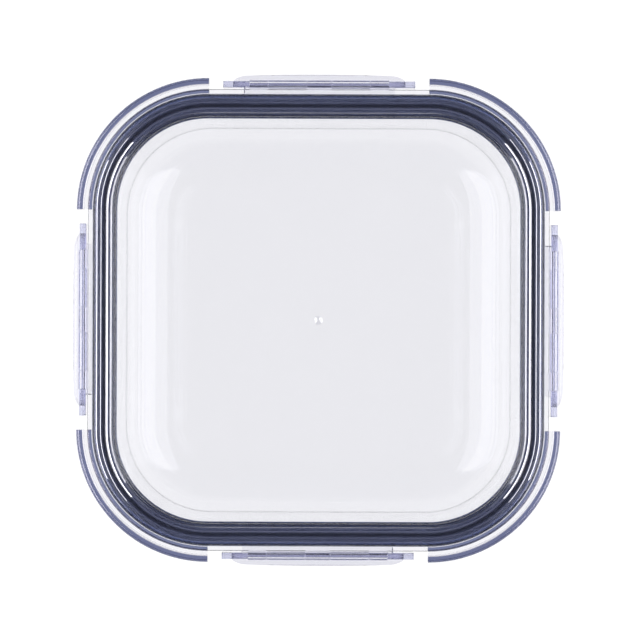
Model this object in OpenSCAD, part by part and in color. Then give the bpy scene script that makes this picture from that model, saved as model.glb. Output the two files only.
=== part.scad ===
// Square glass food container with a clear four-clip lid.
// Every outline is a square with rounded corners about the same four corner centres, so each
// section is drawn once as [distance from the middle, height] and swept round the container.

/* [Overall] */
// Width of the lid across its corner flanges
overall_w = 160; // [150:1:190]
// Corner radius of the flanges, seen from above
corner_r = 43.6; // [42:0.2:46]
// Height of the glass rim above the table
base_h = 61; // [50:1:90]

/* [Glass] */
// Thickness of the glass wall
glass_t = 3.2; // [2.8:0.1:3.6]
// Thickness of the glass floor, over the foot
floor_t = 4; // [3.5:0.1:5]
// Slope of the wall from upright, in degrees
draft = 4.5; // [3:0.5:6]
// Radius of the round at the foot of the wall, inside
bowl_r = 10; // [8:1:12]
// Radius of the wide round that leads from it down to the floor
floor_r = 30; // [24:1:36]
// Height of the hollow under the floor, inside the foot
foot_h = 0.6; // [0.4:0.1:0.8]
// Distance that the catch bead stands out from the rim
bead_out = 2.1; // [1.8:0.1:2.2]

/* [Lid] */
// Width of the corner flanges, outside the raised rim
flange_w = 5.65; // [5.4:0.05:6]
// Width of the raised rim, which is the channel that holds the seal
rim_w = 7.4; // [7:0.05:8]
// Thickness of the channel's two walls
wall_t = 1.2; // [1:0.1:1.4]
// Thickness of the rim's roof
roof_t = 1.6; // [1.4:0.1:2]
// Thickness of the centre panel
panel_t = 2; // [1.6:0.1:2.4]
// Drop from the rim's top to the panel
panel_drop = 3; // [2.5:0.1:3.5]
// Height of the seal
seal_h = 5.4; // [5:0.1:6]
// Depth of the corner skirts below the shelf's top
skirt_h = 12.2; // [10:0.1:16]
// Thickness of the corner skirts
skirt_t = 1.9; // [1.4:0.1:2]

/* [Clips] */
// Length of each clip
clip_l = 63.4; // [60:0.2:66]
// Thickness of the clip's plate
clip_t = 2.2; // [2:0.1:2.4]
// Length of the finger lip
lip_l = 57.2; // [50:0.2:58]
// Radius of the hinge knuckles
knuckle_r = 1.4; // [1.3:0.05:1.4]
// Radius of the hinge pins
pin_r = 0.5; // [0.4:0.05:0.6]
// Length of the hinge, with its knuckles and lugs
hinge_l = 46; // [40:1:50]

/* [Hidden] */
$fn = 96;
eps = 0.01;
half_w = overall_w / 2;
corner_at = half_w - corner_r;
core_margin = 4;
core_at = corner_at + core_margin;

// Clearances
pin_clear = 0.05;
seam_clear = 0.2;
swing_clear = 0.3;

// Heights
shelf_drop = 3.8;
shelf_t = 2;
pin_depth = 1;
channel_dip = 1.4;
bead_dip = 1.8;
bead_h = 3.7;
lid_top = base_h + seal_h + roof_t;
panel_top = lid_top - panel_drop;
panel_under = panel_top - panel_t;
shelf_top = lid_top - shelf_drop;
shelf_under = shelf_top - shelf_t;
pin_z = shelf_top - pin_depth;
channel_foot = base_h - channel_dip;
bead_top = base_h - bead_dip;
bead_under = bead_top - bead_h;

// Distances from the middle
shelf_w = 1.85;
clip_gap = 0.6;
rim_out = half_w - flange_w;
rim_in = rim_out - rim_w;
seal_out = rim_out - wall_t;
seal_in = rim_in + wall_t;
shelf_out = rim_out + shelf_w;
glass_in = (seal_in + seal_out - glass_t) / 2;
glass_out = glass_in + glass_t;
clip_in = shelf_out + clip_gap;
clip_out = clip_in + clip_t;
pin_at = (clip_in + clip_out) / 2;

// Inner skirt at each corner, which centres the lid on the bead
inner_skirt_out = shelf_out - 0.05;
inner_skirt_in = inner_skirt_out - 1.2;
inner_skirt_foot = bead_under + 1;

// Seal lips, gate mark and rounds
lip_w = 0.7;
lip_drop = 0.8;
gate_r = 1.4;
gate_h = 0.3;
edge_r = 1.2;
small_r = 0.4;

// Hinge: three lugs on the lid, and the clip's two knuckles between them
end_lug_l = 6;
mid_lug_l = 8;
end_lug_at = (hinge_l - end_lug_l) / 2;
knuckle_l = (hinge_l - mid_lug_l) / 2 - end_lug_l - 2 * seam_clear;
knuckle_at = mid_lug_l / 2 + seam_clear + knuckle_l / 2;

// Clip: catch and lip
catch_l = 50;
catch_t = 2.2;
catch_reach = 3.8;
catch_top = bead_under - swing_clear;
lip_drop_z = 13;
lip_bend_z = base_h - lip_drop_z;
lip_bend_r = 6;
lip_root = 1;
lip_turn = 66;
lip_round = 8;
lip_round_turn = 33;
lip_round_l = lip_round * sin(lip_round_turn);

function arc(x, y, r, from, to, steps = 6) =
    [for (i = [0:steps]) let (a = from + (to - from) * i / steps) [x + r * cos(a), y + r * sin(a)]];

function tail(points) = [for (i = [1:len(points) - 1]) points[i]];

// Sweeps a section through the four rounded corners
module corners() {
    for (turn = [0:90:270])
        rotate([0, 0, turn]) translate([corner_at, corner_at, 0])
            rotate_extrude(angle = 90) translate([-corner_at, 0]) children();
}

// Runs a section along the straight side that faces +X
module along(length) {
    rotate([90, 0, 0]) linear_extrude(height = length, center = true) children();
}

// Sweeps a section right round the container
module ring() {
    corners() children();
    for (turn = [0:90:270]) rotate([0, 0, turn]) along(2 * corner_at) children();
}

// Solid slab with the container's rounded outline, out to a given distance from the middle
module slab(out, low, high) {
    translate([0, 0, low]) linear_extrude(height = high - low) {
        square([2 * out, 2 * corner_at], center = true);
        square([2 * corner_at, 2 * out], center = true);
        for (x = [-1, 1], y = [-1, 1]) translate([x, y] * corner_at) circle(r = out - corner_at);
    }
}

// Cylinder along the hinge axis of the side that faces +X
module hinge_rod(r, length, at = 0) {
    translate([pin_at, at, pin_z]) rotate([90, 0, 0]) cylinder(r = r, h = length, center = true);
}

function wall_in(z) = glass_in - (base_h - z) * tan(draft);
function wall_out(z) = wall_in(z) + glass_t / cos(draft);

module glass_section() {
    heel_turn = 28;
    heel_t = 2;
    floor_z = floor_t + floor_r;
    bend_z = floor_z - (floor_r - bowl_r) * cos(heel_turn);
    outer_r = bowl_r + glass_t + heel_t;
    bend_in = wall_in(bend_z) - bowl_r / cos(draft);
    floor_end = bend_in - (floor_r - bowl_r) * sin(heel_turn);
    bend_out = wall_out(outer_r) - outer_r / cos(draft);
    foot_w = 3;
    foot_slope_w = 5;
    rim_r = 0.8;
    bead_at = glass_out + bead_out;
    bead_r = 0.9;
    polygon(concat(
        [[core_at, floor_t]],
        arc(floor_end, floor_z, floor_r, -90, heel_turn - 90, 8),
        tail(arc(bend_in, bend_z, bowl_r, heel_turn - 90, -draft, 8)),
        arc(glass_in + rim_r, base_h - rim_r, rim_r, 180, 90, 4),
        arc(glass_out - rim_r, base_h - rim_r, rim_r, 90, 0, 4),
        [[glass_out, bead_top]],
        arc(bead_at - bead_r, bead_top - bead_r, bead_r, 90, 0, 4),
        arc(bead_at - bead_r, bead_under + bead_r, bead_r, 0, -90, 4),
        [[wall_out(bead_under), bead_under]],
        arc(bend_out, outer_r, outer_r, -draft, -90, 12),
        [[bend_out - foot_w, 0], [bend_out - foot_w - foot_slope_w, foot_h], [core_at, foot_h]]));
}

module glass_base() {
    color([0.86, 0.91, 0.93, 0.5]) {
        ring() glass_section();
        slab(core_at + eps, foot_h, floor_t);
    }
}

// The rim and its channel, the shelf outside it and the edge of the panel inside it
module lid_section() {
    difference() {
        polygon(concat(
            [[core_at, panel_under], [rim_in, panel_under], [rim_in, channel_foot]],
            [[rim_out, channel_foot], [rim_out, shelf_under], [shelf_out, shelf_under]],
            arc(shelf_out - small_r, shelf_top - small_r, small_r, 0, 90, 3),
            [[rim_out, shelf_top]],
            arc(rim_out - edge_r, lid_top - edge_r, edge_r, 0, 90),
            arc(rim_in + edge_r, lid_top - edge_r, edge_r, 90, 180),
            [[rim_in, panel_top], [core_at, panel_top]]));
        translate([seal_in, channel_foot - 1])
            square([seal_out - seal_in, base_h + seal_h - channel_foot + 1]);
    }
}

// Flange at each corner: a roof, an outer skirt and the inner skirt
module flange_section() {
    skirt_foot = shelf_top - skirt_h;
    skirt_in = half_w - skirt_t;
    root = rim_out - wall_t / 2;
    polygon(concat(
        [[root, shelf_under], [inner_skirt_in, shelf_under], [inner_skirt_in, inner_skirt_foot],
         [inner_skirt_out, inner_skirt_foot], [inner_skirt_out, shelf_under], [skirt_in, shelf_under]],
        arc(skirt_in + small_r, skirt_foot + small_r, small_r, 180, 270, 3),
        arc(half_w - small_r, skirt_foot + small_r, small_r, 270, 360, 3),
        arc(half_w - edge_r, shelf_top - edge_r, edge_r, 0, 90),
        [[root, shelf_top]]));
}

// Lug of the hinge, joined to the shelf
module hinge_lug(length, at) {
    root = rim_out - wall_t / 2;
    hinge_rod(knuckle_r, length, at);
    translate([root, at - length / 2, shelf_under]) cube([pin_at - root, length, shelf_t]);
}

module lid_shell() {
    color([0.87, 0.87, 0.92, 0.5]) difference() {
        union() {
            ring() lid_section();
            slab(core_at + eps, panel_under, panel_top);
            corners() flange_section();
            translate([0, 0, panel_top]) cylinder(r = gate_r, h = gate_h);
            for (turn = [0:90:270]) rotate([0, 0, turn]) {
                hinge_lug(mid_lug_l, 0);
                for (side = [-1, 1]) hinge_lug(end_lug_l, side * end_lug_at);
            }
        }
        for (turn = [0:90:270]) rotate([0, 0, turn]) hinge_rod(pin_r, hinge_l + 1);
    }
}

// The seal fills the channel, and its two lips straddle the glass rim
module seal_ring() {
    color([0.2, 0.22, 0.3]) ring() polygon([
        [seal_in, base_h - lip_drop], [seal_in + lip_w, base_h - lip_drop], [seal_in + lip_w, base_h],
        [seal_out - lip_w, base_h], [seal_out - lip_w, base_h - lip_drop],
        [seal_out, base_h - lip_drop], [seal_out, base_h + seal_h], [seal_in, base_h + seal_h]]);
}

module plate_section() {
    polygon(concat(
        arc(pin_at, pin_z, clip_t / 2, 0, 180, 8),
        [[clip_in, lip_bend_z], [clip_out, lip_bend_z]]));
}

// The catch is a rib that hooks under the bead
module catch_section() {
    tip = clip_in - catch_reach;
    low = catch_top - catch_t;
    polygon(concat(
        [[clip_in + eps, low]],
        arc(tip + small_r, low + small_r, small_r, 270, 180, 3),
        arc(tip + small_r, catch_top - small_r, small_r, 180, 90, 3),
        [[clip_in + eps, catch_top]]));
}

// The lip bends outwards in a quarter round, so that a finger can pull it
module lip_section() {
    bend_at = clip_out + lip_bend_r;
    polygon(concat(
        arc(bend_at, lip_bend_z, lip_bend_r, 180, 180 + lip_turn, 8),
        arc(bend_at, lip_bend_z, lip_bend_r + clip_t, 180 + lip_turn, 180, 8),
        [[clip_in, lip_bend_z + lip_root], [clip_out, lip_bend_z + lip_root]]));
}

// Outline of the lip seen from above: its outer edge draws in towards both ends
module lip_outline() {
    tip = clip_out + lip_bend_r * (1 - cos(lip_turn));
    polygon(concat(
        [[clip_in, -lip_l / 2]],
        arc(tip - lip_round, lip_round_l - lip_l / 2, lip_round, -lip_round_turn, 0),
        arc(tip - lip_round, lip_l / 2 - lip_round_l, lip_round, 0, lip_round_turn),
        [[clip_in, lip_l / 2]]));
}

// Clip on the side that faces +X
module clip() {
    lip_h = (lip_bend_r + clip_t) * sin(lip_turn);
    difference() {
        union() {
            along(clip_l) plate_section();
            along(catch_l) catch_section();
            for (side = [-1, 1]) hinge_rod(knuckle_r, knuckle_l, side * knuckle_at);
            intersection() {
                along(lip_l) lip_section();
                translate([0, 0, lip_bend_z - lip_h]) linear_extrude(height = lip_h + lip_root) lip_outline();
            }
        }
        hinge_rod(pin_r + pin_clear, hinge_l);
        hinge_rod(knuckle_r + swing_clear, mid_lug_l + 2 * seam_clear);
        for (side = [-1, 1])
            hinge_rod(knuckle_r + swing_clear, end_lug_l + 2 * seam_clear, side * end_lug_at);
    }
}

module placed_clip(turn) {
    color([0.83, 0.82, 0.91, 0.6]) rotate([0, 0, turn]) clip();
}

module placed_pin(turn) {
    color([0.9, 0.9, 0.95, 0.8]) rotate([0, 0, turn]) hinge_rod(pin_r, hinge_l);
}

module clip_right() { placed_clip(0); }
module clip_back() { placed_clip(90); }
module clip_left() { placed_clip(180); }
module clip_front() { placed_clip(270); }
module hinge_pin_right() { placed_pin(0); }
module hinge_pin_back() { placed_pin(90); }
module hinge_pin_left() { placed_pin(180); }
module hinge_pin_front() { placed_pin(270); }

glass_base();
lid_shell();
seal_ring();
clip_front();
clip_back();
clip_left();
clip_right();
hinge_pin_front();
hinge_pin_back();
hinge_pin_left();
hinge_pin_right();
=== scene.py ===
"""Looks of a square glass food container: pressed glass, a clear lid with a dark seal, four snap clips.

Every outline is a square with rounded corners about the same four corner centres. So each part is a
section, a list of (distance from the middle, height) in millimetres, carried round the container or
along one of its sides.
"""
import math

import bmesh
import bpy
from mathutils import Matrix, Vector


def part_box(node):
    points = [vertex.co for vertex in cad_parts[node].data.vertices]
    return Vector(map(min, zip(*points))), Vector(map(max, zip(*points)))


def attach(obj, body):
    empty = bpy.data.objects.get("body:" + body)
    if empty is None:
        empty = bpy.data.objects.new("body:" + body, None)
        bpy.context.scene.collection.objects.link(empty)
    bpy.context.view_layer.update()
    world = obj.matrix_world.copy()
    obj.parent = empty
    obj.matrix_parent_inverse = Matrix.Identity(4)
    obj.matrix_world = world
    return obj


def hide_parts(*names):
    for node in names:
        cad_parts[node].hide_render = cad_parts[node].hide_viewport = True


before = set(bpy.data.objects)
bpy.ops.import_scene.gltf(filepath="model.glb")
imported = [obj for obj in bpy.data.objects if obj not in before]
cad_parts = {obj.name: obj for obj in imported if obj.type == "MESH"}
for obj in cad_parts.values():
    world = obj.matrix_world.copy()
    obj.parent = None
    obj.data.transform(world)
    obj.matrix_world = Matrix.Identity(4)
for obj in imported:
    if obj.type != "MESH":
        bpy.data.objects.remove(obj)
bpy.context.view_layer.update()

# ---------------------------------------------------------------- sizes, in millimetres
MM = 0.001


def box_mm(node):
    low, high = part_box(node)
    return low / MM, high / MM


_, glass_high = box_mm("glass_base")
lid_low, lid_high = box_mm("lid_shell")
seal_low, seal_high = box_mm("seal_ring")
clip_low, clip_high = box_mm("clip_right")
pin_low, pin_high = box_mm("hinge_pin_right")

SIDES = ("right", "back", "left", "front")
HALF_W = lid_high.x
CORNER_R = 43.6
CORNER_AT = HALF_W - CORNER_R
CORE_AT = CORNER_AT + 2.0  # the flat middle of the dish and the lid ends here, and sections begin
BASE_H = glass_high.z
LID_TOP = lid_high.z

# glass
GLASS_T = 3.2
FLOOR_T = 4.0
DRAFT = math.radians(4.5)
BOWL_R = 10.0
FLOOR_R = 30.0
HEEL_TURN = 28.0  # slope at which the floor's round meets the wall's round, in degrees
HEEL_T = 2.0
FOOT_H = 0.6
FOOT_W = 3.0
FOOT_SLOPE_W = 5.0
FOOT_R = 20.0
RIM_R = 1.1
BEAD_AT = glass_high.x
BEAD_OUT = 2.1
GLASS_OUT = BEAD_AT - BEAD_OUT
GLASS_IN = GLASS_OUT - GLASS_T
BEAD_TOP = BASE_H - 1.8
BEAD_UNDER = BASE_H - 5.5

# lid
WALL_T = 1.2
RIM_W = 7.4
SEAL_OUT = seal_high.x
RIM_OUT = SEAL_OUT + WALL_T
RIM_IN = RIM_OUT - RIM_W
SEAL_IN = RIM_IN + WALL_T
SEAL_TOP = seal_high.z
SEAL_FOOT = seal_low.z
PANEL_DROP = 3.0
PANEL_T = 2.0
PANEL_TOP = LID_TOP - PANEL_DROP
PANEL_UNDER = PANEL_TOP - PANEL_T
CHANNEL_FOOT = BASE_H - 1.4
SHELF_DROP = 3.8
SHELF_T = 2.0
SHELF_W = 1.85
SHELF_TOP = LID_TOP - SHELF_DROP
SHELF_UNDER = SHELF_TOP - SHELF_T
SHELF_OUT = RIM_OUT + SHELF_W
SHELF_R = 0.4
SHELF_CHAMFER = 0.3
SKIRT_T = 1.9
SKIRT_FOOT = lid_low.z
INNER_SKIRT_OUT = SHELF_OUT - 0.05
INNER_SKIRT_IN = SHELF_OUT - 1.25
INNER_SKIRT_FOOT = BEAD_UNDER + 1.0
GATE_R = 1.4
GATE_H = 0.3

# the channel's roof: ridges (distance from the middle, half width) and a facet along each wall
RIDGES = [(SEAL_IN + 1.6, 0.35), (SEAL_IN + 3.6, 0.12)]
FACET_RISE = math.tan(math.radians(41))
INNER_FACET_W = 0.5
OUTER_FACET_W = 0.2

# hinges and clips
PIN_AT = (pin_low.x + pin_high.x) / 2
PIN_Z = (pin_low.z + pin_high.z) / 2
PIN_R = (pin_high.z - pin_low.z) / 2
LUG_CLEAR = 0.03
PIN_CLEAR = 0.05
HINGE_L = pin_high.y - pin_low.y
KNUCKLE_R = 1.4
SEAM = 0.2
SWING = 0.3
END_LUG_L = 6.0
MID_LUG_L = 8.0
CLIP_L = clip_high.y - clip_low.y
CLIP_T = 2.2
CLIP_IN = PIN_AT - CLIP_T / 2
CLIP_OUT = PIN_AT + CLIP_T / 2
CATCH_L = 50.0
CATCH_TOP = BEAD_UNDER - SWING
CATCH_REACH = 3.8
CATCH_T = 2.2
CATCH_R = 0.5
LIP_L = 57.2
LIP_TIP_T = 1.5
LIP_BEND_Z = BASE_H - 13.0
LIP_BEND_R = 6.0
LIP_TURN = math.radians(66)
LIP_ROUND = 8.0
LIP_ROUND_L = LIP_ROUND * math.sin(math.radians(33))
LIP_CROWN = 0.6

# how finely sweeps and arcs are cut
CORNER_STEPS = 30
LIP_STEPS = 12
LIP_ROUND_STEPS = 6
LIP_STRIDE = 3
CIRCLE_STEPS = 20


# ---------------------------------------------------------------- sections and sweeps
def rounded(corners, step=12.0):
    """The corners (r, z, fillet radius) as a polyline, with each fillet drawn as an arc."""
    points = []
    last = len(corners) - 1
    for i, (x, y, fillet) in enumerate(corners):
        here = Vector((x, y))
        if i in (0, last) or fillet == 0:
            points.append((x, y))
            continue
        back = (Vector(corners[i - 1][:2]) - here).normalized()
        ahead = (Vector(corners[i + 1][:2]) - here).normalized()
        half = back.angle(ahead) / 2
        centre = here + (back + ahead).normalized() * fillet / math.sin(half)
        start = here + back * fillet / math.tan(half) - centre
        turn = math.pi - 2 * half
        if start.x * back.y - start.y * back.x > 0:
            turn = -turn
        count = max(3, math.ceil(abs(math.degrees(turn)) / step))
        for k in range(count + 1):
            a = turn * k / count
            points.append((centre.x + start.x * math.cos(a) - start.y * math.sin(a),
                           centre.y + start.x * math.sin(a) + start.y * math.cos(a)))
    return points


def arc(x, y, r, start, end, count):
    """Points of an arc in a section, with its angles in degrees."""
    angles = [math.radians(start + (end - start) * k / count) for k in range(count + 1)]
    return [(x + r * math.cos(a), y + r * math.sin(a)) for a in angles]


def hinge_circle(r):
    """A circle about the hinge axis, in a section."""
    step = 360 / CIRCLE_STEPS
    return arc(PIN_AT, PIN_Z, r, 0, 360 - step, CIRCLE_STEPS - 1)


def place(station, point):
    """Where a section's point lies when the section stands at a station (x, y, direction)."""
    x, y, turn = station
    out = point[0] - CORNER_AT
    return Vector((x + out * math.cos(turn), y + out * math.sin(turn), point[1])) * MM


def corner_stations(quarter):
    """Stations round one corner; quarter 0 is the corner between +X and +Y."""
    middle = math.radians(90 * quarter + 45)
    x = CORNER_AT * math.sqrt(2) * math.cos(middle)
    y = CORNER_AT * math.sqrt(2) * math.sin(middle)
    return [(x, y, math.radians(90 * (quarter + k / CORNER_STEPS))) for k in range(CORNER_STEPS + 1)]


def side_station(quarter, along):
    """The station on the side that faces direction 90 x quarter, at a distance along it."""
    turn = math.radians(90 * quarter)
    x = CORNER_AT * math.cos(turn) - along * math.sin(turn)
    y = CORNER_AT * math.sin(turn) + along * math.cos(turn)
    return (x, y, turn)


def round_stations():
    """Stations all the way round, where the straight sides need none of their own."""
    return [s for quarter in range(4) for s in corner_stations(quarter)]


def loft(bm, stations, sections, closed_section=False, closed_path=False, painted_shade_amounts=None):
    """Skin between stations. sections is one section, or one for each station.

    The last argument gives the painted shade, from 0 to 1, that marks the faces of some of the section's
    sides.
    """
    mark = bm.faces.layers.float.get("painted_shade_and_gloss") or bm.faces.layers.float.new("painted_shade_and_gloss")
    if isinstance(sections[0][0], (int, float)):
        sections = [sections] * len(stations)
    rings = [[bm.verts.new(place(s, p)) for p in section] for s, section in zip(stations, sections)]
    count = len(rings[0])
    for i in range(len(rings) if closed_path else len(rings) - 1):
        a, b = rings[i], rings[(i + 1) % len(rings)]
        for k in range(count if closed_section else count - 1):
            m = (k + 1) % count
            face = bm.faces.new((a[k], a[m], b[m], b[k]))
            face[mark] = painted_shade_amounts.get(k, 0.0) if painted_shade_amounts else 0.0


def fill(bm, loops):
    """A flat face bounded by the first loop, less the holes that the other loops bound."""
    rings = [[bm.verts.new(p) for p in loop] for loop in loops]
    if len(rings) == 1:
        bm.faces.new(rings[0])
        return
    edges = [bm.edges.new((ring[i], ring[i - 1])) for ring in rings for i in range(len(ring))]
    bmesh.ops.triangle_fill(bm, edges=edges, use_beauty=True)


def step_between(one, other):
    """The outline between two sections or chains that begin and end alike."""
    def same(p, q):
        return math.dist(p, q) < 1e-4
    first = 0
    while same(one[first], other[first]):
        first += 1
    last = 1
    while same(one[-last], other[-last]):
        last += 1
    return one[first - 1:len(one) - last + 2] + other[first:len(other) - last + 1][::-1]


def finished(bm, name, edge_width=0.0):
    """The piece made of a bmesh: one closed skin with soft edges and even shading."""
    weld, sharp_from, bevel_from = 0.002 * MM, math.radians(35), math.radians(50)
    bmesh.ops.remove_doubles(bm, verts=bm.verts, dist=weld)
    bmesh.ops.recalc_face_normals(bm, faces=bm.faces)
    mesh = bpy.data.meshes.new(name)
    bm.to_mesh(mesh)
    bm.free()
    for polygon in mesh.polygons:
        polygon.use_smooth = True
    mesh.set_sharp_from_angle(angle=sharp_from)
    piece = bpy.data.objects.new(name, mesh)
    bpy.context.scene.collection.objects.link(piece)
    if edge_width:
        bevel = piece.modifiers.new("soft edges", "BEVEL")
        bevel.width = edge_width * MM
        bevel.segments = 2
        bevel.limit_method = "ANGLE"
        bevel.angle_limit = bevel_from
        bevel.miter_outer = "MITER_ARC"
    even = piece.modifiers.new("even shading", "WEIGHTED_NORMAL")
    even.keep_sharp = True
    even.weight = 100
    return piece


# ---------------------------------------------------------------- glass dish
def wall_at(height, outside=False):
    """Distance of the glass wall's inner or outer face from the middle, at a height."""
    inner = GLASS_IN - (BASE_H - height) * math.tan(DRAFT)
    return inner + (GLASS_T / math.cos(DRAFT) if outside else 0)


def bowl_round():
    """The inside's round: a wide arc up from the floor, and a tighter one that meets the wall."""
    turn = math.radians(HEEL_TURN)
    floor_z = FLOOR_T + FLOOR_R
    bend_z = floor_z - (FLOOR_R - BOWL_R) * math.cos(turn)
    bend_in = wall_at(bend_z) - BOWL_R / math.cos(DRAFT)
    floor_end = bend_in - (FLOOR_R - BOWL_R) * math.sin(turn)
    return (arc(floor_end, floor_z, FLOOR_R, -90, HEEL_TURN - 90, 12)
            + arc(bend_in, bend_z, BOWL_R, HEEL_TURN - 90, -math.degrees(DRAFT), 12)[1:])


def make_glass():
    """The dish: its section carried round, closed in the middle by the flat floor and its underside."""
    outer_r = BOWL_R + GLASS_T + HEEL_T
    foot_in = wall_at(outer_r, True) - outer_r / math.cos(DRAFT) - FOOT_W
    bowl = bowl_round()
    section = [(CORE_AT, FLOOR_T)] + bowl[:-1] + rounded([
        (*bowl[-1], 0),
        (GLASS_IN, BASE_H, RIM_R),
        (GLASS_OUT, BASE_H, RIM_R),
        (GLASS_OUT, BEAD_TOP, 0.5),
        (BEAD_AT, BEAD_TOP - 0.3, 1.1),
        (BEAD_AT, BEAD_UNDER, 0.9),
        (wall_at(BEAD_UNDER, True), BEAD_UNDER, 0.8),
        (wall_at(0, True), 0, outer_r),
        (foot_in, 0, FOOT_R),
        (foot_in - FOOT_SLOPE_W, FOOT_H, FOOT_R),
        (CORE_AT, FOOT_H, 0)], step=7)
    bm = bmesh.new()
    stations = round_stations()
    loft(bm, stations, section, closed_path=True)
    for end in (section[0], section[-1]):
        fill(bm, [[place(s, end) for s in stations]])
    return finished(bm, "glass_dish")


# ---------------------------------------------------------------- lid
def lid_sections():
    """The lid's section in its corners, along its sides and at its hinge lugs."""
    top = rounded([
        (CORE_AT, PANEL_TOP, 0),
        (RIM_IN, PANEL_TOP, 0.5),
        (RIM_IN, LID_TOP, 1.2),
        (RIM_OUT, LID_TOP, 1.2),
        (RIM_OUT, SHELF_TOP, 0.4),
        (SHELF_OUT - 0.45, SHELF_TOP, 0)])
    ridges = [(at + side * half, SEAL_TOP - (side == 0) * half * FACET_RISE, 0)
              for at, half in reversed(RIDGES) for side in (1, 0, -1)]
    under = rounded([
        (RIM_OUT + 0.2, SHELF_UNDER, 0),
        (RIM_OUT, SHELF_UNDER, 0.15),
        (RIM_OUT, CHANNEL_FOOT, 0.35),
        (SEAL_OUT, CHANNEL_FOOT, 0.35),
        (SEAL_OUT, SEAL_TOP - OUTER_FACET_W * FACET_RISE, 0),
        (SEAL_OUT - OUTER_FACET_W, SEAL_TOP, 0),
        *ridges,
        (SEAL_IN + INNER_FACET_W, SEAL_TOP, 0),
        (SEAL_IN, SEAL_TOP - INNER_FACET_W * FACET_RISE, 0),
        (SEAL_IN, CHANNEL_FOOT, 0.35),
        (RIM_IN, CHANNEL_FOOT, 0.35),
        (RIM_IN, PANEL_UNDER, 0.5),
        (CORE_AT, PANEL_UNDER, 0)])
    start, end = top[-1], under[0]
    shelf = rounded([
        (*start, 0),
        (SHELF_OUT, SHELF_TOP, SHELF_R),
        (SHELF_OUT, SHELF_UNDER + SHELF_CHAMFER * FACET_RISE, 0),
        (SHELF_OUT - SHELF_CHAMFER, SHELF_UNDER, 0),
        (*end, 0)])[1:-1]
    flange = rounded([
        (*start, 0),
        (HALF_W, SHELF_TOP, 1.3),
        (HALF_W, SKIRT_FOOT, 0.55),
        (HALF_W - SKIRT_T, SKIRT_FOOT, 0.55),
        (HALF_W - SKIRT_T, SHELF_UNDER, 0.5),
        (INNER_SKIRT_OUT, SHELF_UNDER, 0.3),
        (INNER_SKIRT_OUT, INNER_SKIRT_FOOT, 0.4),
        (INNER_SKIRT_IN, INNER_SKIRT_FOOT, 0.4),
        (INNER_SKIRT_IN, SHELF_UNDER, 0.1),
        (*end, 0)])[1:-1]
    cut = math.degrees(math.asin((SHELF_TOP - PIN_Z) / KNUCKLE_R))
    lug = arc(PIN_AT, PIN_Z, KNUCKLE_R, 180 - cut, cut - 180, 28) + [shelf[-1]]
    return {kind: top + chain + under
            for kind, chain in (("shelf", shelf), ("flange", flange), ("lug", lug))}


def lug_spans():
    """Where each hinge lug begins and ends along a side."""
    outer = HINGE_L / 2
    return [(-outer, END_LUG_L - outer), (-MID_LUG_L / 2, MID_LUG_L / 2), (outer - END_LUG_L, outer)]


def make_lid():
    """The lid: flanges at its corners, shelves between them, and three hinge lugs on each side."""
    sections = lid_sections()
    bore = hinge_circle(PIN_R + LUG_CLEAR)
    bm = bmesh.new()
    for quarter in range(4):
        loft(bm, corner_stations(quarter), sections["flange"])
        at = -CORNER_AT
        for low, high in lug_spans():
            ends = [side_station(quarter, low), side_station(quarter, high)]
            loft(bm, [side_station(quarter, at), ends[0]], sections["shelf"])
            loft(bm, ends, sections["lug"])
            loft(bm, ends, bore, closed_section=True)
            for end in ends:
                outline = step_between(sections["lug"], sections["shelf"])
                fill(bm, [[place(end, p) for p in loop] for loop in (outline, bore)])
            at = high
        loft(bm, [side_station(quarter, at), side_station(quarter, CORNER_AT)], sections["shelf"])
        for end in (-CORNER_AT, CORNER_AT):
            outline = step_between(sections["flange"], sections["shelf"])
            fill(bm, [[place(side_station(quarter, end), p) for p in outline]])
    edge = [s for quarter in range(4) for s in
            [side_station(quarter, along) for span in lug_spans() for along in span]
            + corner_stations(quarter)]
    fill(bm, [[place(s, sections["shelf"][-1]) for s in edge]])
    gate_steps = 24
    turns = [2 * math.pi * k / gate_steps for k in range(gate_steps)]
    gate = [Vector((GATE_R * math.cos(a) * MM, GATE_R * math.sin(a) * MM, PANEL_TOP * MM)) for a in turns]
    fill(bm, [[place(s, sections["shelf"][0]) for s in edge], gate])
    make_gate(bm, gate)
    return finished(bm, "lid_moulding", edge_width=0.2)


def make_gate(bm, rim):
    """The gate mark: a low, uneven, glossy cone, blunt where the sprue was twisted off.

    A level is (share of the mark's radius, share of its height).
    """
    uneven = 0.1
    centre = Vector((0, 0, PANEL_TOP * MM))
    levels = [(1.0, 0.0), (0.97, 0.14), (0.6, 0.55), (0.25, 0.93), (0.1, 0.95)]
    rings = []
    for level, (size, rise) in enumerate(levels):
        ring = []
        for k, p in enumerate(rim):
            rough = 0 if level == 0 else uneven * math.sin(0.8 * k + 1.3 * level)
            height = Vector((0, 0, GATE_H * MM * rise * (1 + rough)))
            ring.append(bm.verts.new(centre + (p - centre) * size * (1 + rough) + height))
        rings.append(ring)
    faces = [bm.faces.new(rings[-1])]
    for a, b in zip(rings, rings[1:]):
        faces += [bm.faces.new((a[k], a[k - 1], b[k - 1], b[k])) for k in range(len(rim))]
    mark = bm.faces.layers.float.get("painted_shade_and_gloss")
    for face in faces:
        face[mark] = 1.0


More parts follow.
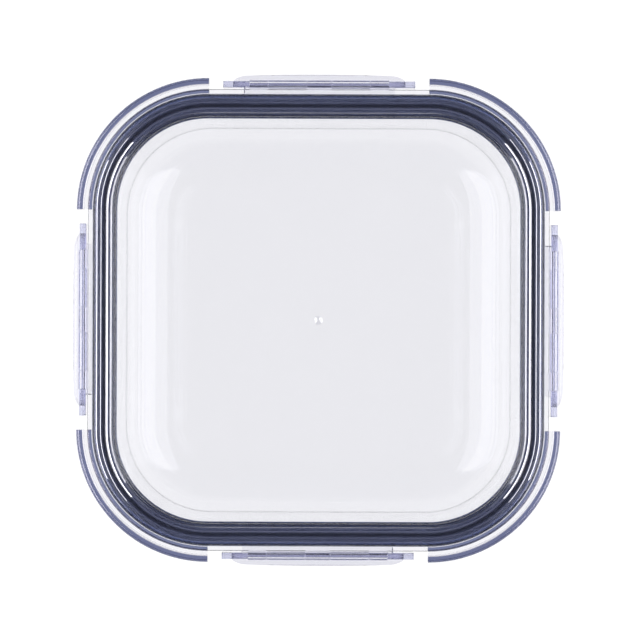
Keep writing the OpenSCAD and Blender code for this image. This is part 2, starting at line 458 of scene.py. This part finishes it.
# ---------------------------------------------------------------- seal
def make_seal():
    """The seal: pressed against its channel's walls, with a valley on top for the roof's ridge."""
    press = 0.03
    out, inside = SEAL_OUT + press, SEAL_IN - press
    lip = 0.7
    valley = SEAL_TOP - 1.3
    (ridge, ridge_w), (small_ridge, _) = RIDGES
    seat = BASE_H + 0.05
    outline = rounded([
        (inside + lip / 2, SEAL_FOOT, 0),
        (inside, SEAL_FOOT, 0.2),
        (inside, SEAL_TOP - 0.5, 0.1),
        (inside + 0.75, SEAL_TOP - 0.25, 0.2),
        (ridge - ridge_w - 0.1, SEAL_TOP - 0.15, 0.25),
        (ridge - 0.2, valley, 0.4),
        (ridge + 0.9, valley, 0.4),
        (small_ridge - 0.4, SEAL_TOP - 0.35, 0.2),
        (small_ridge + 0.3, SEAL_TOP - 0.35, 0.2),
        (out - 0.5, SEAL_TOP - 0.12, 0.2),
        (out, SEAL_TOP - 0.55, 0.1),
        (out, SEAL_FOOT, 0.2),
        (out - lip, SEAL_FOOT, 0.2),
        (out - lip, seat, 0.15),
        (inside + lip, seat, 0.15),
        (inside + lip, SEAL_FOOT, 0.2),
        (inside + lip / 2, SEAL_FOOT, 0)])[:-1]
    bm = bmesh.new()
    loft(bm, round_stations(), outline, closed_section=True, closed_path=True)
    return finished(bm, "seal")


# ---------------------------------------------------------------- clips
def lip_chain(away):
    """The lip's part of the clip's section, at a distance from the clip's middle."""
    bend_at = CLIP_OUT + LIP_BEND_R
    past = max(0.0, away - (LIP_L / 2 - LIP_ROUND_L))
    rounding = LIP_ROUND - math.sqrt(LIP_ROUND ** 2 - past ** 2)
    cut = LIP_BEND_R * math.cos(LIP_TURN) + LIP_CROWN * (2 * away / LIP_L) ** 2 + rounding

    def thick(turn):
        return CLIP_T + (LIP_TIP_T - CLIP_T) * turn / LIP_TURN

    # the inner face ends where the cut meets it, and its radius there depends on that turn
    inner_turn = LIP_TURN
    for _ in range(8):
        inner_turn = min(LIP_TURN, math.acos(cut / (LIP_BEND_R + thick(inner_turn))))
    outer_turn = min(LIP_TURN, math.acos(cut / LIP_BEND_R))
    outer, inner = [], []
    for k in range(LIP_STEPS + 1):
        a, b = outer_turn * k / LIP_STEPS, inner_turn * k / LIP_STEPS
        inner_r = LIP_BEND_R + thick(b)
        outer.append((bend_at - LIP_BEND_R * math.cos(a), LIP_BEND_Z - LIP_BEND_R * math.sin(a)))
        inner.append((bend_at - inner_r * math.cos(b), LIP_BEND_Z - inner_r * math.sin(b)))
    return outer + inner[::-1]


def clip_chains(away, top, catch, lip):
    """The chains that make the clip's section: top, lip and catch, in order round it."""
    gap_r = KNUCKLE_R + SWING
    half = CLIP_T / 2
    low = PIN_Z - math.sqrt(gap_r ** 2 - half ** 2)
    start, end = (CLIP_OUT, low), (CLIP_IN, low)
    dip = math.degrees(math.asin((PIN_Z - low) / gap_r))
    swell = math.degrees(math.acos(half / KNUCKLE_R))
    tops = {
        "round": [end] + arc(PIN_AT, PIN_Z, half, 180, 0, 14) + [start],
        "notch": [end] + arc(PIN_AT, PIN_Z, gap_r, 180 + dip, 360 - dip, 10)[1:-1] + [start],
        "knuckle": [end] + arc(PIN_AT, PIN_Z, KNUCKLE_R, 180 + swell, -swell, 28) + [start],
    }
    tip = CLIP_IN - CATCH_REACH
    catch_low = CATCH_TOP - CATCH_T
    catches = [(CLIP_IN, catch_low)]
    if catch:
        catches += rounded([
            (CLIP_IN, catch_low, 0),
            (tip, catch_low, CATCH_R),
            (tip, CATCH_TOP, CATCH_R),
            (CLIP_IN, CATCH_TOP, 0)])[1:-1]
    catches += [(CLIP_IN, CATCH_TOP)]
    lips = lip_chain(away) if lip else [(CLIP_OUT, LIP_BEND_Z), (CLIP_IN, LIP_BEND_Z)]
    return [tops[top], lips, catches]


def clip_kind(away):
    """What the clip's section has at a distance from the clip's middle: top, catch and lip."""
    end_low, end_high = HINGE_L / 2 - END_LUG_L - SEAM, HINGE_L / 2 + SEAM
    if away > end_high:
        top = "round"
    elif away > end_low or away < MID_LUG_L / 2 + SEAM:
        top = "notch"
    else:
        top = "knuckle"
    return top, away < CATCH_L / 2, away < LIP_L / 2


def lip_painted_shade(first):
    """The painted shade on the sides of the clip's section: some on the lip's outer half, and all on its
    tip.
    """
    tip = first + LIP_STEPS
    half = LIP_STEPS // 2
    painted_shade_amounts = {side: 0.4 for side in range(tip - half, tip + half + 1)}
    painted_shade_amounts[tip] = 1.0
    return painted_shade_amounts


def make_clip(quarter):
    """One clip, swept along its side of the container through a station wherever its section changes."""
    lip_stops = [LIP_L / 2 - LIP_ROUND_L * k / LIP_ROUND_STEPS for k in range(LIP_ROUND_STEPS + 1)]
    lip_stops += range(LIP_STRIDE, int(LIP_L / 2 - LIP_ROUND_L), LIP_STRIDE)
    stops = {CLIP_L / 2, CATCH_L / 2, HINGE_L / 2 + SEAM, HINGE_L / 2 - END_LUG_L - SEAM,
             MID_LUG_L / 2 + SEAM, *lip_stops}
    along = sorted({s * round(v, 4) for v in stops for s in (-1, 1)})
    bore = hinge_circle(PIN_R + PIN_CLEAR)
    bm = bmesh.new()
    before = None
    for low, high in zip(along, along[1:]):
        kind = clip_kind(abs(low + high) / 2)
        stations = [side_station(quarter, low), side_station(quarter, high)]
        chains = [clip_chains(abs(low), *kind), clip_chains(abs(high), *kind)]
        # painted shade on the lip's outer half and on its tip
        painted_shade_amounts = lip_painted_shade(len(chains[0][0])) if kind[2] else None
        loft(bm, stations, [sum(c, []) for c in chains], closed_section=True, painted_shade_amounts=painted_shade_amounts)
        if kind[0] == "knuckle":
            loft(bm, stations, bore, closed_section=True)
        if before is None:
            fill(bm, [[place(stations[0], p) for p in sum(chains[0], [])]])
        elif before != kind:
            for part, (old, new) in enumerate(zip(clip_chains(abs(low), *before), chains[0])):
                if len(old) == len(new):
                    continue
                loops = [step_between(old, new)]
                if part == 0 and "knuckle" in (before[0], kind[0]):
                    loops.append(bore)
                fill(bm, [[place(stations[0], p) for p in loop] for loop in loops])
        before = kind
    fill(bm, [[place(stations[1], p) for p in sum(chains[1], [])]])
    return finished(bm, "snap_clip_" + SIDES[quarter], edge_width=0.15)


def make_pin(quarter):
    """One hinge pin, a rod with rounded ends. A level is (distance from the end, share of the radius)."""
    end = HINGE_L / 2
    round_end = [(0, 0.6), (0.1, 0.9), (0.25, 1.0)]
    levels = [(depth - end, size) for depth, size in round_end]
    levels += [(end - depth, size) for depth, size in reversed(round_end)]
    stations = [side_station(quarter, along) for along, _ in levels]
    sections = [hinge_circle(PIN_R * size) for _, size in levels]
    bm = bmesh.new()
    loft(bm, stations, sections, closed_section=True)
    for station, section in ((stations[0], sections[0]), (stations[-1], sections[-1])):
        fill(bm, [[place(station, p) for p in section]])
    return finished(bm, "pin_" + SIDES[quarter])


# ---------------------------------------------------------------- materials
def shader(name):
    """A new material with its node tree, its shader node and its output node."""
    material = bpy.data.materials.new(name)
    material.use_nodes = True
    tree = material.node_tree
    return material, tree, tree.nodes["Principled BSDF"], tree.nodes["Material Output"]


def noise(tree, scale, detail=2.0):
    """A noise field in the container's own coordinates, with its scale per metre."""
    spot = tree.nodes.new("ShaderNodeTexCoord")
    field = tree.nodes.new("ShaderNodeTexNoise")
    field.inputs["Scale"].default_value = scale
    field.inputs["Detail"].default_value = detail
    tree.links.new(spot.outputs["Object"], field.inputs["Vector"])
    return field.outputs["Fac"]


def ranged(tree, source, low, high, start=0.3, end=0.7):
    """The source's values from start to end, spread from low to high."""
    node = tree.nodes.new("ShaderNodeMapRange")
    node.inputs["From Min"].default_value = start
    node.inputs["From Max"].default_value = end
    node.inputs["To Min"].default_value = low
    node.inputs["To Max"].default_value = high
    tree.links.new(source, node.inputs["Value"])
    return node.outputs["Result"]


def bump(tree, target, source, strength, distance_mm):
    """Unevenness of a surface, with the height of its waves in millimetres."""
    node = tree.nodes.new("ShaderNodeBump")
    node.inputs["Strength"].default_value = strength
    node.inputs["Distance"].default_value = distance_mm * MM
    tree.links.new(source, node.inputs["Height"])
    tree.links.new(node.outputs["Normal"], target.inputs["Normal"])


def level_faces(tree, low, high):
    """1 on the level faces between two heights, and 0 elsewhere."""
    steep, level = 0.3, 0.6
    spot = tree.nodes.new("ShaderNodeTexCoord")
    spot_z, facing_z = (tree.nodes.new("ShaderNodeSeparateXYZ") for _ in range(2))
    tree.links.new(spot.outputs["Object"], spot_z.inputs[0])
    tree.links.new(spot.outputs["Normal"], facing_z.inputs[0])
    between = tree.nodes.new("ShaderNodeMath")
    between.operation = "COMPARE"
    between.inputs[1].default_value = (low + high) / 2 * MM
    between.inputs[2].default_value = (high - low) / 2 * MM
    tree.links.new(spot_z.outputs["Z"], between.inputs[0])
    tilt = tree.nodes.new("ShaderNodeMath")
    tilt.operation = "ABSOLUTE"
    tree.links.new(facing_z.outputs["Z"], tilt.inputs[0])
    both = tree.nodes.new("ShaderNodeMath")
    both.operation = "MULTIPLY"
    tree.links.new(between.outputs["Value"], both.inputs[0])
    tree.links.new(ranged(tree, tilt.outputs["Value"], 0, 1, steep, level), both.inputs[1])
    return both.outputs["Value"]


def shade_and_gloss_mark(tree):
    """How much the mesh marks each face, from 0 to 1: painted shade on the clips' lips, and gloss on the
    gate mark.
    """
    mark = tree.nodes.new("ShaderNodeAttribute")
    mark.attribute_name = "painted_shade_and_gloss"
    return mark.outputs["Fac"]


def mixed(tree, factor, first, second):
    """A colour between two others, each of them a colour or a socket."""
    blend = tree.nodes.new("ShaderNodeMix")
    blend.data_type = "RGBA"
    tree.links.new(factor, blend.inputs["Factor"])
    for name, colour in (("A", first), ("B", second)):
        if isinstance(colour, tuple):
            blend.inputs[name].default_value = (*colour, 1)
        else:
            tree.links.new(colour, blend.inputs[name])
    return blend.outputs["Result"]


def clear_material(name, ior, through, density, rough, wave, wave_mm,
                   edges=(), painted_shade_and_gloss=None, marked_gloss_ior=None):
    """Clear glass or plastic: through is the colour that its body lets through, with its density per metre.

    rough is the range of its roughness, and wave and wave_mm are the scale and height of its waviness.
    edges are (low, high, colour): level faces between two heights that are painted a dark colour; on the
    feet of the lid's skirts that colour is painted shade.
    The colour after the edges is painted shade, laid on the faces that the mesh marks, and the IOR after it
    makes the marked faces glossy.
    """
    material, tree, surface, output = shader(name)
    surface.inputs["Transmission Weight"].default_value = 1.0
    surface.inputs["IOR"].default_value = ior
    colour = (1.0, 1.0, 1.0)
    for low, high, tint in edges:
        colour = mixed(tree, level_faces(tree, low, high), colour, tint)
    if painted_shade_and_gloss:
        colour = mixed(tree, shade_and_gloss_mark(tree), colour, painted_shade_and_gloss)
    if marked_gloss_ior:
        tree.links.new(shade_and_gloss_mark(tree), surface.inputs["Coat Weight"])
        surface.inputs["Coat IOR"].default_value = marked_gloss_ior
    if edges or painted_shade_and_gloss:
        tree.links.new(colour, surface.inputs["Base Color"])
    else:
        surface.inputs["Base Color"].default_value = (*colour, 1)
    cloud_scale = 60
    tree.links.new(ranged(tree, noise(tree, cloud_scale), *rough), surface.inputs["Roughness"])
    bump(tree, surface, noise(tree, wave), 0.5, wave_mm)
    body = tree.nodes.new("ShaderNodeVolumeAbsorption")
    body.inputs["Color"].default_value = (*through, 1)
    body.inputs["Density"].default_value = density
    tree.links.new(body.outputs["Volume"], output.inputs["Volume"])
    return material


def seal_material():
    """Satin elastomer: mottled slate, darkened by painted shade down in its valley and made paler by
    painted light where it nears the channel's roof.
    """
    dark, slate, pale_slate = (0.030, 0.033, 0.055), (0.125, 0.140, 0.225), (0.150, 0.168, 0.255)
    mottle_scale, satin_scale, grain_scale = 220, 900, 2500
    dark_z, pale_z = (SEAL_TOP - 1.1) * MM, (SEAL_TOP - 0.1) * MM
    material, tree, surface, _ = shader("seal_elastomer")
    mottle = mixed(tree, ranged(tree, noise(tree, mottle_scale, 3), 0, 1), slate, pale_slate)
    spot = tree.nodes.new("ShaderNodeTexCoord")
    height = tree.nodes.new("ShaderNodeSeparateXYZ")
    tree.links.new(spot.outputs["Object"], height.inputs[0])
    # painted shade and light by height: the dark colour fills the valley, and the paler mottled slate lies
    # near the roof
    painted_shade_to_light = ranged(tree, height.outputs["Z"], 0, 1, dark_z, pale_z)
    tree.links.new(mixed(tree, painted_shade_to_light, dark, mottle), surface.inputs["Base Color"])
    tree.links.new(ranged(tree, noise(tree, satin_scale, 3), 0.12, 0.22), surface.inputs["Roughness"])
    surface.inputs["IOR"].default_value = 1.45
    bump(tree, surface, noise(tree, grain_scale, 3), 0.25, 0.02)
    return material


def wear(piece, material, body, node):
    """Gives a piece its material, hangs it on the body it rides on, and hides the CAD node that it stands
    for.
    """
    piece.data.materials.append(material)
    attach(piece, body)
    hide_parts(node)


FOOT_BAND = 0.3  # how far the dark feet reach above and below their own height
# painted shade: the foot faces of the lid's outer and inner skirts are painted dark, for the shade that
# these clear walls carry up from below
SKIRT_FEET_PAINTED_SHADE = (SKIRT_FOOT - FOOT_BAND, INNER_SKIRT_FOOT + FOOT_BAND, (0.062, 0.080, 0.170))
# the foot faces of the channel's walls are painted dark as well
CHANNEL_FEET = (CHANNEL_FOOT - FOOT_BAND, CHANNEL_FOOT + FOOT_BAND, (0.022, 0.036, 0.120))

glass = clear_material(
    "pressed_glass", ior=1.5, through=(0.80, 0.84, 0.90), density=10.0, rough=(0.03, 0.06),
    wave=45, wave_mm=0.02)
# the lid: painted shade on its skirts' feet, dark channel feet, and a glossy gate mark
lid_plastic = clear_material(
    "lid_plastic", ior=1.57, through=(0.66, 0.64, 0.76), density=115.0, rough=(0.0, 0.02),
    wave=45, wave_mm=0.003, edges=[SKIRT_FEET_PAINTED_SHADE, CHANNEL_FEET], marked_gloss_ior=2.4)
# the clips' lips carry a painted shade colour where the mesh marks them
clip_plastic = clear_material(
    "clip_plastic", ior=1.57, through=(0.61, 0.62, 0.79), density=80.0, rough=(0.03, 0.08),
    wave=60, wave_mm=0.003, painted_shade_and_gloss=(0.60, 0.59, 0.70))
pin_plastic = clear_material(
    "pin_plastic", ior=1.55, through=(0.80, 0.80, 0.90), density=40.0, rough=(0.03, 0.08),
    wave=300, wave_mm=0.02)

wear(make_glass(), glass, "base", "glass_base")
wear(make_lid(), lid_plastic, "lid", "lid_shell")
wear(make_seal(), seal_material(), "lid", "seal_ring")
for quarter, side in enumerate(SIDES):
    wear(make_clip(quarter), clip_plastic, "clip_" + side, "clip_" + side)
    wear(make_pin(quarter), pin_plastic, "lid", "hinge_pin_" + side)


# ---------------------------------------------------------------- floor, light and camera
def make_floor():
    """A pale floor whose glow is a painted pool of light, brightest around the container."""
    radius, drop = 3.0, 0.0002
    pool_r, dim_r = 0.3, 1.2
    pool_glow, dim_glow = 1.0, 0.55
    bm = bmesh.new()
    bmesh.ops.create_circle(bm, cap_ends=True, segments=96, radius=radius)
    mesh = bpy.data.meshes.new("floor")
    bm.to_mesh(mesh)
    bm.free()
    floor = bpy.data.objects.new("floor", mesh)
    bpy.context.scene.collection.objects.link(floor)
    floor.location.z = -drop
    material, tree, surface, _ = shader("floor_glow_pool")
    surface.inputs["Base Color"].default_value = (0.1, 0.1, 0.1, 1)
    surface.inputs["Roughness"].default_value = 0.9
    surface.inputs["Specular IOR Level"].default_value = 0.0
    surface.inputs["Emission Color"].default_value = (1, 1, 1, 1)
    spot = tree.nodes.new("ShaderNodeTexCoord")
    length = tree.nodes.new("ShaderNodeVectorMath")
    length.operation = "LENGTH"
    tree.links.new(spot.outputs["Object"], length.inputs[0])
    # painted pool of light: the glow is full round the container and dimmer further out
    glow = ranged(tree, length.outputs["Value"], pool_glow, dim_glow, pool_r, dim_r)
    tree.links.new(glow, surface.inputs["Emission Strength"])
    mesh.materials.append(material)


def softbox(name, place, size, watts):
    """A soft box aimed at the container's rim."""
    light = bpy.data.lights.new(name, "AREA")
    light.shape = "RECTANGLE"
    light.size, light.size_y = size
    light.energy = watts
    lamp = bpy.data.objects.new(name, light)
    lamp.location = place
    aim = Vector((0, 0, LID_TOP * MM)) - lamp.location
    lamp.rotation_euler = aim.to_track_quat("-Z", "Y").to_euler()
    lamp.visible_camera = False
    bpy.context.scene.collection.objects.link(lamp)


def make_world():
    """A dim blue-grey studio round the container; the camera itself sees a pale backdrop."""
    world = bpy.data.worlds.new("studio")
    bpy.context.scene.world = world
    world.use_nodes = True
    tree = world.node_tree
    around = tree.nodes["Background"]
    around.inputs["Color"].default_value = (0.13, 0.145, 0.23, 1)
    backdrop = tree.nodes.new("ShaderNodeBackground")
    backdrop.inputs["Color"].default_value = (0.86, 0.87, 0.89, 1)
    rays = tree.nodes.new("ShaderNodeLightPath")
    choose = tree.nodes.new("ShaderNodeMixShader")
    tree.links.new(rays.outputs["Is Camera Ray"], choose.inputs["Fac"])
    tree.links.new(around.outputs["Background"], choose.inputs[1])
    tree.links.new(backdrop.outputs["Background"], choose.inputs[2])
    tree.links.new(choose.outputs["Shader"], tree.nodes["World Output"].inputs["Surface"])


def make_camera():
    """Straight above the lid, a little off centre and turned by a fraction of a degree."""
    distance = 1.2
    view_width = 0.2106
    aside, ahead, roll = 0.0005, 0.0001, math.radians(0.2)
    data = bpy.data.cameras.new("camera")
    data.sensor_width = 36
    data.lens = data.sensor_width * distance / view_width
    camera = bpy.data.objects.new("camera", data)
    camera.location = (aside, ahead, LID_TOP * MM + distance)
    camera.rotation_euler = (0, 0, roll)
    bpy.context.scene.collection.objects.link(camera)
    bpy.context.scene.camera = camera


make_floor()
for name, x in (("softbox_left", -0.6), ("softbox_right", 0.6)):
    softbox(name, place=(x, 0, 0.53), size=(0.9, 0.96), watts=6.2)
make_world()
make_camera()

scene = bpy.context.scene
scene.view_settings.view_transform = "Standard"
scene.cycles.max_bounces = 24
scene.cycles.transmission_bounces = 24
scene.cycles.glossy_bounces = 12
scene.cycles.caustics_refractive = True
